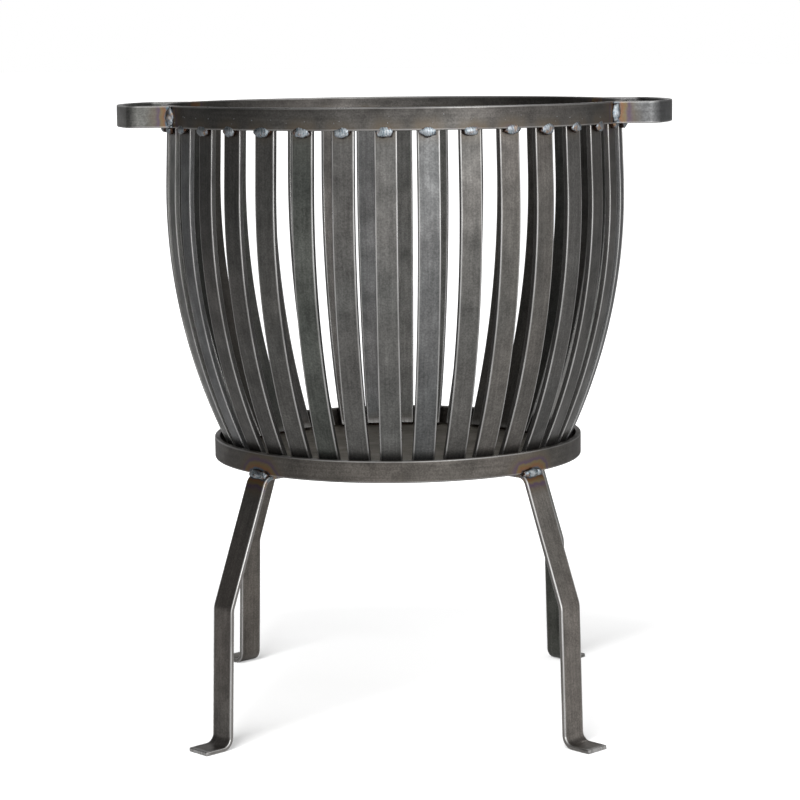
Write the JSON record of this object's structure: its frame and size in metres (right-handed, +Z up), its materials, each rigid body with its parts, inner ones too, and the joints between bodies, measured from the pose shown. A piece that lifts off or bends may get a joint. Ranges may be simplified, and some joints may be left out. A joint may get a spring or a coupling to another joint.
{
  "type": "fire basket",
  "caption": "Welded steel fire basket: bellied ring of upright flat slats between two hoops, solid floor, two side handles and four cranked legs with turned-out feet.",
  "frame": {"origin": "on the ground under the centre of the basket", "axes": "+Z up; +X towards the right handle; -Y is the front, between the two front legs"},
  "size_m": [0.52, 0.438, 0.579],
  "materials": {
    "raw_steel": "mill scale, satin",
    "dark_steel": "mill scale, satin",
    "weld_bead": "bright welded bead with heat tint"
  },
  "bodies": {
    "root": {"slat_01": "raw_steel", "slat_02": "raw_steel", "slat_03": "raw_steel", "slat_04": "raw_steel", "slat_05": "raw_steel", "slat_06": "raw_steel", "slat_07": "raw_steel", "slat_08": "raw_steel", "slat_09": "raw_steel", "slat_10": "raw_steel", "slat_11": "raw_steel", "slat_12": "raw_steel", "slat_13": "raw_steel", "slat_14": "raw_steel", "slat_15": "raw_steel", "slat_16": "raw_steel", "slat_17": "raw_steel", "slat_18": "raw_steel", "slat_19": "raw_steel", "slat_20": "raw_steel", "slat_21": "raw_steel", "slat_22": "raw_steel", "slat_23": "raw_steel", "slat_24": "raw_steel", "slat_25": "raw_steel", "slat_26": "raw_steel", "slat_27": "raw_steel", "slat_28": "raw_steel", "slat_29": "raw_steel", "slat_30": "raw_steel", "slat_31": "raw_steel", "slat_32": "raw_steel", "slat_33": "raw_steel", "slat_34": "raw_steel", "slat_35": "raw_steel", "slat_36": "raw_steel", "handle_left": "dark_steel", "handle_right": "dark_steel", "leg_front_left": "raw_steel", "leg_front_right": "raw_steel", "leg_rear_left": "raw_steel", "leg_rear_right": "raw_steel", "top_hoop": "dark_steel", "bottom_hoop": "dark_steel", "floor_plate": "raw_steel", "slat_top_welds": "weld_bead", "slat_foot_welds": "weld_bead", "handle_welds": "weld_bead", "leg_welds": "weld_bead"}
  },
  "joints": []
}
